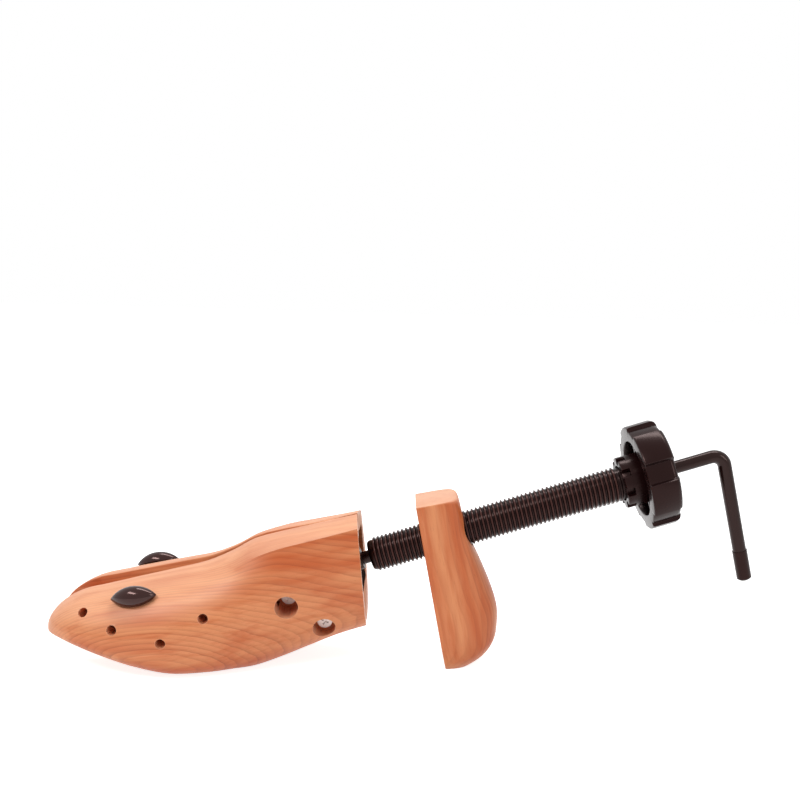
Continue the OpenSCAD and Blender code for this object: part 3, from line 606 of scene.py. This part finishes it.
# The wooden halves
def half_section(row, steps=48):
    """One closed section of the left half: up the split, over the top and the side, back under."""
    _, wide, top, widest, sole, crease, full = row
    points = []
    for i in range(1, steps + 1):
        share = i / steps
        f = math.radians(90 * share)
        round_y = -wide * math.sin(f) ** (2 / TOP_POWER)
        round_z = widest + (top - widest) * math.cos(f) ** (2 / TOP_POWER)
        q = share / CREASE_SHARE
        g = (share - CREASE_SHARE) / (1 - CREASE_SHARE)
        if q <= 1:
            sharp = (-(wide - CREASE_IN) * q, top - CROWN_DROP * q * q)
        else:
            sharp = (-(wide - CREASE_IN + CREASE_IN * math.sin(math.radians(90 * g))),
                     (top - CROWN_DROP) * (1 - g) + widest * g)
        points.append((round_y * (1 - crease) + sharp[0] * crease,
                       round_z * (1 - crease) + sharp[1] * crease))
    for i in range(1, steps):
        f = math.radians(90 * i / steps)
        points.append((-wide * math.cos(f) ** (2 / full),
                       widest - (widest - sole) * math.sin(f) ** (2 / full)))
    # the rounded split edges, smaller where the toe is narrow
    above = min(EDGE_R, -0.8 * points[0][0])
    below = min(EDGE_R, -0.8 * points[-1][0])
    points += [(-below, sole), (0, sole + below * 0.5)]
    return [(0, top - above), (-above * 0.3, top - above * 0.3), (-above, top)] + points


def leaf_outline(grow):
    return [(-PIN_BACK + grow, LEAF_HALF + grow), (-42 - grow / 2, LEAF_HALF + grow), (-47.5 - grow, 4),
            (-47.5 - grow, -10), (-35.5, -26 - grow), (-25.4 + grow, -26 - grow),
            (-22 + grow, -LEAF_HALF - grow), (-PIN_BACK + grow, -LEAF_HALF - grow)]


def half_cutters(side):
    far = 250.0
    room = YOKE_HALF + HINGE_ROOM
    cutters = [
        # the rear face, and the relief behind the pins that lets the halves open
        block(0, far, -far, far, -far, far, shift(FRONT_X - REAR_GAP, 0, AXIS_H) @ turn(-REAR_LEAN, "Y")),
        block(0, 60, 0, 20, -60, 60, IN_ROD @ shift(-PIN_BACK, -SPLIT_GAP, 0) @ turn(-RELIEF, "Z")),
        # yoke, leaf, wedge, the way for its thin end, pad
        block(-PIN_BACK - YOKE_REACH - 1.5, 12, -room, PAST_SPLIT, -room, room, IN_ROD),
        prism(leaf_outline(LEAF_ROOM), -LEAF_OUT - LAID_IN, PAST_SPLIT, IN_ROD),
        block(*WEDGE_POCKET, -WEDGE_OUT, PAST_SPLIT, -WEDGE_HALF, WEDGE_HALF, IN_ROD),
        block(*WEDGE_WAY, -WAY_OUT, PAST_SPLIT, -WEDGE_HALF, WEDGE_HALF, IN_ROD),
        block(-NOSE_BACK - PAD_HALF_LEN, -NOSE_BACK + PAD_HALF_LEN, -PAD_OUT - LAID_IN, PAST_SPLIT,
              -PAD_HALF_H, PAD_HALF_H, IN_ROD),
        # all that lies below the floor
        block(-far, far, -far, far, -far, 0, LEFT.inverted()),
    ]
    for ahead, height in LEAF_SCREWS:
        into = IN_ROD @ shift(-ahead, -2 * BALL_W, height) @ turn(-90, "X")
        cutters.append(drill(BIG_HOLE_D / 2, 2 * BALL_W - WEB_OUT, into))
        cutters.append(drill(LEAF_SCREW_R, 2 * BALL_W, into))
    for hole in [*SMALL_HOLES, BUMP_HOLES[side]]:
        bottom = at_hole(hole) @ shift(0, 0, -SMALL_HOLE_DEPTH)
        cutters.append(drill(SMALL_HOLE_D / 2, SMALL_HOLE_DEPTH + 8, bottom, 48))
    return cutters


def build_half(side, material):
    rows = smooth_rows(STATIONS, per=9)
    rings = [[(FRONT_X - r[0], y - SPLIT_GAP, z) for y, z in half_section(r)] for r in rows]
    solid = fix_normals(new_mesh("half", *skin(rings)))
    obj = cut("wood_half_" + side, solid, half_cutters(side))
    clean(obj.data)
    # the short edges around the tip of the toe stay as they are, they would limit every bevel
    round_edges(obj.data, HALF_BEVEL, 50,
                keep=lambda edge: min(v.co.x for v in edge.verts) > FRONT_X - CRISP_TOE)
    smooth(obj.data, 24)
    matrix = LEFT if side == "left" else MIRROR @ LEFT
    place(obj.name, obj.data, matrix, side + "_half", "forefoot_" + side, material)


# The heel block
def heel_ring(row, steps=30):
    height, wide, deep, full = row
    points = [(HEEL_EDGE, wide * HEEL_W)]
    for i in range(1, 2 * steps):
        f = math.radians(90 * i / steps)
        points.append((deep * math.sin(f) ** (2 / full),
                       math.copysign(HEEL_W * wide * abs(math.cos(f)) ** (2 / full), math.cos(f))))
    points += [(HEEL_EDGE, -wide * HEEL_W), (HEEL_EDGE * 0.3, HEEL_EDGE * 0.3 - wide * HEEL_W),
               (0, HEEL_EDGE - wide * HEEL_W), (0, wide * HEEL_W - HEEL_EDGE),
               (HEEL_EDGE * 0.3, wide * HEEL_W - HEEL_EDGE * 0.3)]
    return [(x, y, height) for x, y in points]


def build_heel():
    rings = [[ON_HEEL @ Vector(p) for p in heel_ring(r)] for r in smooth_rows(HEEL_STATIONS, per=6)]
    solid = fix_normals(new_mesh("heel", *skin(rings)))
    along = IN_ROD @ turn(90, "Y")
    cutters = [
        block(-250, 250, -250, 250, -250, 0),
        drill(TUBE_R + TUBE_ROOM, 80, along),
        drill(BUSH_D / 2 + 0.02, BUSH_END, along),
        block(15, FLANGE_S + FLANGE_T, -FLANGE_HALF_W, FLANGE_HALF_W, -FLANGE_HALF_H, FLANGE_HALF_H, IN_ROD),
    ]
    obj = cut("wood_heel", solid, cutters)
    clean(obj.data)
    round_edges(obj.data, HEEL_BEVEL, 38)
    smooth(obj.data, 50)
    place(obj.name, obj.data, Matrix.Identity(4), "heel", "heel_block", wood_heel)


# The threaded tube, with a true helix
def build_tube():
    start, end = THREAD_START, HUB_S - 0.8
    around = 64
    total = int((end - start) / THREAD_PITCH * around)
    root = TUBE_R - THREAD_DEPTH
    # one tooth: share of the pitch, share of the depth
    tooth = [(0.0, 0.0), (0.10, 0.35), (0.22, 0.95), (0.32, 1.0), (0.44, 1.0), (0.54, 0.95), (0.66, 0.35),
             (0.78, 0.0)]
    # the core from the front face to the hub and back through the bore
    profile = [(0, BORE_R), (0, TUBE_R - 1.7), (0.5, TUBE_R - 1.25), (start, root + 0.02), (end, root + 0.02),
               (HUB_S + 4, TUBE_R), (HUB_S + 4, BORE_R), (0, BORE_R)]
    rings = [[(s, *p) for p in circle(r, around)] for s, r in profile]
    core = new_mesh("core", *skin(rings, close_ends=False))
    # the thread winds on it and sinks into it at both ends
    helix = []
    for i in range(total + 1):
        angle = 2 * math.pi * i / around
        fade = max(0.02, min(1.0, i / (around * 0.75), (total - i) / (around * 0.5)))
        ring = []
        for at, high in tooth:
            r = root + THREAD_DEPTH * high * fade - 0.05 * (1 - fade)
            s = start + THREAD_PITCH * (i / around + at - 0.4)
            ring.append((s, r * math.sin(angle), r * math.cos(angle)))
        helix.append(ring)
    mesh = joined("tube", [core, new_mesh("thread", *skin(helix))], weld=WELD)
    smooth(mesh, 50)
    place("tube_with_thread", mesh, IN_ROD, "knob_and_tube", "threaded_tube", thread_plastic)


# The knob
LOBE_DEPTH = 1.5
LOBE_TURN = 44.0
HOLLOW_HALF = 11.0
NOTCH_DEPTH = 2.6
NOTCH_TURN = 10.0
NOTCH_HALF = 8.6
RIM_IN = KNOB_R - 6.7
RECESS_S = RIM_S + 8.0


def hollow_share(degrees, first, every, half, blend=1.6):
    """1 in the hollows that repeat every so many degrees and are half wide each way, 0 between."""
    past = (degrees - first) % every
    return min(1.0, max(0.0, 0.5 + (half - min(past, every - past)) / blend))


def build_knob():
    around = 720
    angles = [360 * k / around for k in range(around)]
    hollow = [hollow_share(a, LOBE_TURN - 30, 60, HOLLOW_HALF) for a in angles]
    notch = [hollow_share(a, NOTCH_TURN, 45, NOTCH_HALF) for a in angles]
    h = KNOB_REAR_S
    # s, radius, share of the lobes' hollows, share of the hub's notches
    profile = [
        (h, BORE_R, 0, 0), (h, 7.0, 0, 0), (h - 0.3, 7.4, 0, 0), (h - 0.3, 9.0, 0, 0), (h, 9.4, 0, 0),
        (h, KNOB_R - 2.4, 1, 0), (h - 0.05, KNOB_R - 2.1, 1, 0), (h - 0.3, KNOB_R - 1.57, 1, 0),
        (h - 0.7, KNOB_R - 0.82, 1, 0), (h - 1.1, KNOB_R - 0.53, 1, 0), (h - 1.7, KNOB_R - 0.24, 1, 0),
        (h - 2.4, KNOB_R, 1, 0),
        (RIM_S + 0.9, KNOB_R, 1, 0), (RIM_S + 0.35, KNOB_R - 0.15, 1, 0), (RIM_S + 0.1, KNOB_R - 0.45, 1, 0),
        (RIM_S, KNOB_R - 0.9, 1, 0), (RIM_S, RIM_IN + 0.5, 0, 0), (RIM_S + 0.2, RIM_IN + 0.15, 0, 0),
        (RIM_S + 0.6, RIM_IN, 0, 0), (RECESS_S - 0.6, RIM_IN - 0.1, 0, 0), (RECESS_S, RIM_IN - 0.7, 0, 0),
        (RECESS_S, HUB_R + 0.6, 0, 0), (RECESS_S - 0.6, HUB_R, 0, 0),
        (HUB_S + 4.4, HUB_R, 0, 0), (HUB_S + 3.6, HUB_R, 0, 0), (HUB_S + 3.3, HUB_R, 0, 1),
        (HUB_S + 0.5, HUB_R, 0, 1), (HUB_S + 0.15, HUB_R - 0.15, 0, 1), (HUB_S, HUB_R - 0.5, 0, 0.85),
        (HUB_S, TUBE_R + 0.55, 0, 0), (HUB_S + 0.15, TUBE_R + 0.15, 0, 0), (HUB_S + 0.6, TUBE_R + 0.02, 0, 0),
        (HUB_S + 4, TUBE_R + 0.02, 0, 0),
    ]
    rings = []
    for s, base, lobed, notched in profile:
        ring = []
        for k, degrees in enumerate(angles):
            a = math.radians(degrees)
            r = base - LOBE_DEPTH * hollow[k] * lobed - NOTCH_DEPTH * notch[k] * notched
            ring.append((s, -r * math.sin(a), r * math.cos(a)))
        rings.append(ring)
    body = new_mesh("knob", *skin(rings + rings[:1], close_ends=False))
    ribs = [block(RIM_S + 2.4, RECESS_S + 0.5, -1, 1, HUB_R - 0.6, RIM_IN + 0.4,
                  turn(LOBE_TURN + 60 * k, "X")) for k in range(6)]
    mesh = joined("knob_mesh", [body, *ribs], weld=WELD)
    smooth(mesh, 28)
    place("lobed_knob", mesh, IN_ROD, "knob_and_tube", "knob", dark_plastic)


# The bumps
def build_bump(side):
    half_len, half_wide = BUMP_LEN / 2, BUMP_W / 2
    arc = (half_len ** 2 + half_wide ** 2) / (2 * half_wide)
    centre = BUMP_SEAT + BUMP_H - half_wide
    steps, around = 56, 64
    rings = []
    for i in range(steps + 1):
        f = math.asin(BUMP_TIP * half_len / arc) * (2 * i / steps - 1)
        x, r = arc * math.sin(f), half_wide - arc + arc * math.cos(f)
        ring = []
        for k in range(around):
            a = 2 * math.pi * k / around
            z = centre + r * math.cos(a)
            ring.append((x, r * math.sin(a), max(z, BUMP_SEAT)))
        rings.append(ring)
    body = new_mesh("bump", *skin(rings))
    peg = drill(PEG_R, PEG_LEN + 1, shift(0, 0, -PEG_LEN), 40)
    mesh = joined("bump_mesh", [body, peg])
    smooth(mesh, 60)
    matrix = LEFT @ at_hole(BUMP_HOLES[side])
    if side == "right":
        matrix = MIRROR @ matrix
    place("pressure_bump_" + side, mesh, matrix, side + "_bump", "bump_" + side,
          bump_plastic)


# The handle rod
def build_handle():
    around, bend_steps = 48, 24
    path = [(s, 0.0, 0.0) for s in np.linspace(TOE_END_S, ARM_S - BEND_R, 60)]
    for i in range(1, bend_steps + 1):
        a = math.radians(90 * i / bend_steps)
        path.append((ARM_S - BEND_R + BEND_R * math.sin(a), 0.0, -BEND_R + BEND_R * math.cos(a)))
    path += [(ARM_S, 0.0, z) for z in np.linspace(-BEND_R - 1, -ARM_LEN + 1.0, 30)]
    radii = [ROD_R - 0.6] + [ROD_R] * (len(path) - 1)
    side = Vector((0, 1, 0))
    rings = []
    for i, p in enumerate(path):
        before = Vector(path[max(i - 1, 0)])
        after = Vector(path[min(i + 1, len(path) - 1)])
        up = (after - before).normalized().cross(side)
        rings.append([Vector(p) + x * side + y * up for x, y in circle(radii[i], around)])
    mesh = fix_normals(new_mesh("rod", *skin(rings)))
    smooth(mesh, 40)
    place("bent_rod", mesh, IN_ROD, "handle", "handle_rod", black_steel)


build_half("left", wood_left)
build_half("right", wood_right)
build_heel()
build_tube()
build_knob()
build_bump("left")
build_bump("right")
build_handle()

# The nodes that keep their mesh
own_finish = dict.fromkeys(("hinge_leaf_left", "hinge_leaf_right", "hinge_pins", "front_collar",
                            "rear_collar", "collar_pins"), dark_steel)
own_finish["hinge_yoke"] = dull_black
finishes = {"plain_steel": zinc, "brass_parts": brass, "black_steel": black_steel, "dip_coat": dip_plastic,
            "dark_plastic": dark_plastic, "pine_wood": wood_left}
slots = {row["node"]: row["material_slot"] for row in frame["record"]["subparts"]}
for node, obj in frame["nodes"].items():
    for slot in obj.material_slots:
        slot.material = own_finish.get(node, finishes[slots[node]])


# Stage, light and camera, in metres
FLOOR_GLOW = 0.80
WORLD_LIGHT = 0.30


def seen_plainly(n):
    """1 for rays from the camera, a shiny surface or glass, 0 for the light on the object."""
    path = n.add("ShaderNodeLightPath")
    mirrored = n.math("MAXIMUM", path.outputs["Is Glossy Ray"], path.outputs["Is Transmission Ray"])
    return n.math("MAXIMUM", path.outputs["Is Camera Ray"], mirrored)


def stage_floor():
    size = 6.0
    corners = [(-size, -size, 0), (size, -size, 0), (size, size, 0), (-size, size, 0)]
    mesh = new_mesh("floor", corners, [(0, 1, 2, 3)])
    floor = new_object("floor", mesh)
    floor.location.z = -0.00005
    material = bpy.data.materials.new("floor_white")
    n = Nodes(material)
    n.set(Base_Color=(0.84, 0.84, 0.84), Roughness=0.9, Specular_IOR_Level=0.1)
    glow = n.add("ShaderNodeEmission")
    n.put(n.math("MULTIPLY", seen_plainly(n), FLOOR_GLOW), glow.inputs["Strength"])
    both = n.add("ShaderNodeAddShader")
    n.put(n.shader.outputs[0], both.inputs[0])
    n.put(glow.outputs[0], both.inputs[1])
    n.put(both.outputs[0], n.tree.nodes["Material Output"].inputs["Surface"])
    mesh.materials.append(material)


def light_world():
    scene.world = bpy.data.worlds.new("studio")
    n = Nodes(scene.world)
    background = n.tree.nodes["Background"]
    background.inputs["Color"].default_value = (1, 1, 1, 1)
    n.put(n.spread(seen_plainly(n), WORLD_LIGHT, 1.0), background.inputs["Strength"])


def softbox(name, where, target, size, power):
    data = bpy.data.lights.new(name, "AREA")
    data.shape = "RECTANGLE"
    data.size, data.size_y = size
    data.energy = power
    lamp = new_object(name, data)
    lamp.location = where
    lamp.rotation_euler = (Vector(target) - Vector(where)).to_track_quat("-Z", "Y").to_euler()


def photo_camera():
    """The camera that was fitted to the photo. Its optical centre is below the picture's middle."""
    focal_px, frame_px, centre_down_px = 797.4, 800.0, 170.0
    eye = (-0.001917, -0.359622, 0.171307)
    elevation, yaw, roll = (math.radians(a) for a in (19.318, -0.333, 1.53))
    level = math.cos(elevation)
    forward = Vector((math.sin(yaw) * level, math.cos(yaw) * level, -math.sin(elevation)))
    right = Vector((math.cos(yaw), -math.sin(yaw), 0))
    down = forward.cross(right)
    rolled = Matrix.Rotation(-roll, 3, "Y")
    forward, right, down = rolled @ forward, rolled @ right, rolled @ down
    data = bpy.data.cameras.new("camera")
    data.sensor_width = 36.0
    data.lens = 36.0 * focal_px / frame_px
    data.shift_y = centre_down_px / frame_px
    camera = new_object("camera", data)
    basis = Matrix((right, -down, -forward)).transposed().to_4x4()
    camera.matrix_world = Matrix.Translation(eye) @ basis
    scene.camera = camera


stage_floor()
light_world()
softbox("key", (-0.42, -0.42, 0.70), (0, 0, 0.04), (0.5, 0.16), 3.4)
softbox("top", (0.10, 0.25, 0.90), (0, 0, 0.05), (0.9, 0.16), 4.8)
softbox("side", (0.75, -0.55, 0.45), (0.05, 0, 0.06), (0.16, 0.4), 1.3)
photo_camera()
scene.view_settings.view_transform = "Standard"
